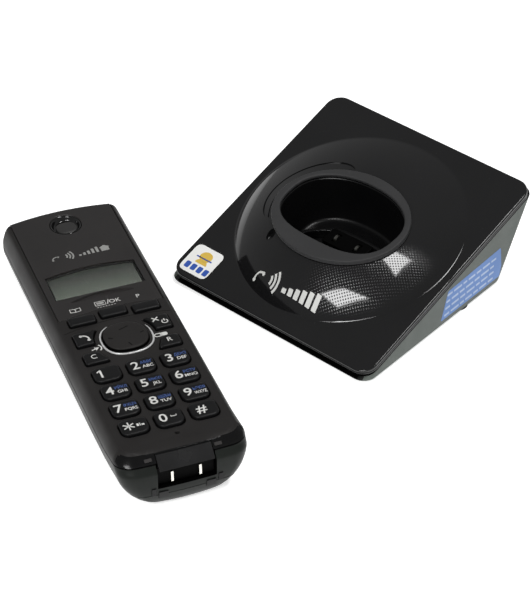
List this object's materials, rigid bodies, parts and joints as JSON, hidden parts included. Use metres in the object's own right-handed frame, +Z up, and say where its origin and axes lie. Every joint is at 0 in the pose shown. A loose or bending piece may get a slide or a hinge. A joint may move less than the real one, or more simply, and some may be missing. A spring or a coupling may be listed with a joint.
{
  "type": "cordless phone with base",
  "caption": "Cordless telephone: a wedge-shaped charging base with a domed oval well, and its handset with keypad and display lying face up beside it.",
  "frame": {"origin": "centre of the whole set's footprint on the table; base behind and to the right, handset in front and to the left", "axes": "+Z up from the table; the base's low front edge faces -Y and its high back edge +Y; +X to the right"},
  "size_m": [0.1568, 0.2128, 0.0359],
  "materials": {
    "black_gloss": "polished dark moulded plastic with a clear sheen",
    "black_satin": "dark satin moulded plastic",
    "matt_grey": "fine matt dark grey plastic",
    "grey_green": "matt grey-green housing plastic with a fine texture",
    "handset_grey": "satin dark warm-grey plastic",
    "panel_grey": "smooth satin dark grey plastic",
    "key_grey": "soft-touch satin key tops with printed legends",
    "rubber": "black rubber",
    "board": "green circuit board",
    "window": "clear display window",
    "display": "grey-green reflective display",
    "cell_wrap": "shrink-wrapped cell",
    "contact_metal": "bright plated spring contacts",
    "steel": "plated steel",
    "chrome": "bright chrome trim"
  },
  "bodies": {
    "base": {"base_top_cover": "black_gloss", "cradle_collar": "matt_grey", "cradle_well": "black_gloss", "contact_pedestal": "black_satin", "base_housing": "grey_green", "base_pcb": "board", "line_jack": "black_satin", "power_jack": "black_satin", "foot_front_left": "rubber", "foot_front_right": "rubber", "foot_rear_left": "rubber", "foot_rear_right": "rubber", "base_screw_left": "steel", "base_screw_right": "steel"},
    "base_contact_left": {"base_contact_left": "contact_metal"},
    "base_contact_right": {"base_contact_right": "contact_metal"},
    "handset": {"front_shell": "handset_grey", "rear_shell": "handset_grey", "display_panel": "panel_grey", "display_window": "window", "lcd_module": "display", "earpiece_pad": "matt_grey", "earpiece_speaker": "black_satin", "nav_ring": "chrome", "keypad_mat": "rubber", "handset_pcb": "board", "microphone": "steel", "battery_tray": "black_satin", "battery_cell_1": "cell_wrap", "battery_cell_2": "cell_wrap", "battery_spring_1": "steel", "battery_spring_2": "steel", "end_panel": "panel_grey", "contact_block": "black_satin", "charge_contact_left": "contact_metal", "charge_contact_right": "contact_metal", "handset_screw_left": "steel", "handset_screw_right": "steel"},
    "battery_cover": {"battery_cover": "handset_grey"},
    "nav_pivot": {"nav_pivot": "black_satin"},
    "nav_pad": {"nav_pad": "key_grey"},
    "key_1": {"key_1": "key_grey"},
    "key_2": {"key_2": "key_grey"},
    "key_3": {"key_3": "key_grey"},
    "key_4": {"key_4": "key_grey"},
    "key_5": {"key_5": "key_grey"},
    "key_6": {"key_6": "key_grey"},
    "key_7": {"key_7": "key_grey"},
    "key_8": {"key_8": "key_grey"},
    "key_9": {"key_9": "key_grey"},
    "key_star": {"key_star": "key_grey"},
    "key_0": {"key_0": "key_grey"},
    "key_hash": {"key_hash": "key_grey"},
    "key_talk": {"key_talk": "key_grey"},
    "key_off": {"key_off": "key_grey"},
    "key_clear": {"key_clear": "key_grey"},
    "key_recall": {"key_recall": "key_grey"},
    "key_soft_left": {"key_soft_left": "key_grey"},
    "key_soft_middle": {"key_soft_middle": "key_grey"},
    "key_soft_right": {"key_soft_right": "key_grey"}
  },
  "joints": [
    {"name": "handset_lift", "type": "slide", "parent": "base", "child": "handset", "axis": [0, 0, 1], "range_m": [0, 0.15]},
    {"name": "battery_cover_slide", "type": "slide", "parent": "handset", "child": "battery_cover", "axis": [0.8767, -0.481, 0], "range_m": [0, 0.08]},
    {"name": "key_1_press", "type": "slide", "parent": "handset", "child": "key_1", "axis": [0.0344, -0.0189, -0.9992], "range_m": [0, 0.0008], "stiffness_N_per_m": 1200},
    {"name": "key_2_press", "type": "slide", "parent": "handset", "child": "key_2", "axis": [0.0344, -0.0189, -0.9992], "range_m": [0, 0.0008], "stiffness_N_per_m": 1200},
    {"name": "key_3_press", "type": "slide", "parent": "handset", "child": "key_3", "axis": [0.0344, -0.0189, -0.9992], "range_m": [0, 0.0008], "stiffness_N_per_m": 1200},
    {"name": "key_4_press", "type": "slide", "parent": "handset", "child": "key_4", "axis": [0.0344, -0.0189, -0.9992], "range_m": [0, 0.0008], "stiffness_N_per_m": 1200},
    {"name": "key_5_press", "type": "slide", "parent": "handset", "child": "key_5", "axis": [0.0344, -0.0189, -0.9992], "range_m": [0, 0.0008], "stiffness_N_per_m": 1200},
    {"name": "key_6_press", "type": "slide", "parent": "handset", "child": "key_6", "axis": [0.0344, -0.0189, -0.9992], "range_m": [0, 0.0008], "stiffness_N_per_m": 1200},
    {"name": "key_7_press", "type": "slide", "parent": "handset", "child": "key_7", "axis": [0.0344, -0.0189, -0.9992], "range_m": [0, 0.0008], "stiffness_N_per_m": 1200},
    {"name": "key_8_press", "type": "slide", "parent": "handset", "child": "key_8", "axis": [0.0344, -0.0189, -0.9992], "range_m": [0, 0.0008], "stiffness_N_per_m": 1200},
    {"name": "key_9_press", "type": "slide", "parent": "handset", "child": "key_9", "axis": [0.0344, -0.0189, -0.9992], "range_m": [0, 0.0008], "stiffness_N_per_m": 1200},
    {"name": "key_star_press", "type": "slide", "parent": "handset", "child": "key_star", "axis": [0.0344, -0.0189, -0.9992], "range_m": [0, 0.0008], "stiffness_N_per_m": 1200},
    {"name": "key_0_press", "type": "slide", "parent": "handset", "child": "key_0", "axis": [0.0344, -0.0189, -0.9992], "range_m": [0, 0.0008], "stiffness_N_per_m": 1200},
    {"name": "key_hash_press", "type": "slide", "parent": "handset", "child": "key_hash", "axis": [0.0344, -0.0189, -0.9992], "range_m": [0, 0.0008], "stiffness_N_per_m": 1200},
    {"name": "key_talk_press", "type": "slide", "parent": "handset", "child": "key_talk", "axis": [0.0344, -0.0189, -0.9992], "range_m": [0, 0.0008], "stiffness_N_per_m": 1200},
    {"name": "key_off_press", "type": "slide", "parent": "handset", "child": "key_off", "axis": [0.0344, -0.0189, -0.9992], "range_m": [0, 0.0008], "stiffness_N_per_m": 1200},
    {"name": "key_clear_press", "type": "slide", "parent": "handset", "child": "key_clear", "axis": [0.0344, -0.0189, -0.9992], "range_m": [0, 0.0008], "stiffness_N_per_m": 1200},
    {"name": "key_recall_press", "type": "slide", "parent": "handset", "child": "key_recall", "axis": [0.0344, -0.0189, -0.9992], "range_m": [0, 0.0008], "stiffness_N_per_m": 1200},
    {"name": "key_soft_left_press", "type": "slide", "parent": "handset", "child": "key_soft_left", "axis": [0.0344, -0.0189, -0.9992], "range_m": [0, 0.0008], "stiffness_N_per_m": 1200},
    {"name": "key_soft_middle_press", "type": "slide", "parent": "handset", "child": "key_soft_middle", "axis": [0.0344, -0.0189, -0.9992], "range_m": [0, 0.0008], "stiffness_N_per_m": 1200},
    {"name": "key_soft_right_press", "type": "slide", "parent": "handset", "child": "key_soft_right", "axis": [0.0344, -0.0189, -0.9992], "range_m": [0, 0.0008], "stiffness_N_per_m": 1200},
    {"name": "nav_rock_up_down", "type": "hinge", "parent": "handset", "child": "nav_pivot", "pos_m": [0.00826, -0.0542, 0.02161], "axis": [0.481, 0.8767, 0], "range_deg": [-3, 3], "stiffness_Nm_per_rad": 0.2},
    {"name": "nav_rock_left_right", "type": "hinge", "parent": "nav_pivot", "child": "nav_pad", "pos_m": [0.00826, -0.0542, 0.02161], "axis": [-0.8761, 0.4806, -0.0392], "range_deg": [-3, 3], "stiffness_Nm_per_rad": 0.2},
    {"name": "base_contact_left_press", "type": "slide", "parent": "base", "child": "base_contact_left", "axis": [0, 0.1392, -0.9903], "range_m": [0, 0.0009], "stiffness_N_per_m": 500},
    {"name": "base_contact_right_press", "type": "slide", "parent": "base", "child": "base_contact_right", "axis": [0, 0.1392, -0.9903], "range_m": [0, 0.0009], "stiffness_N_per_m": 500}
  ]
}
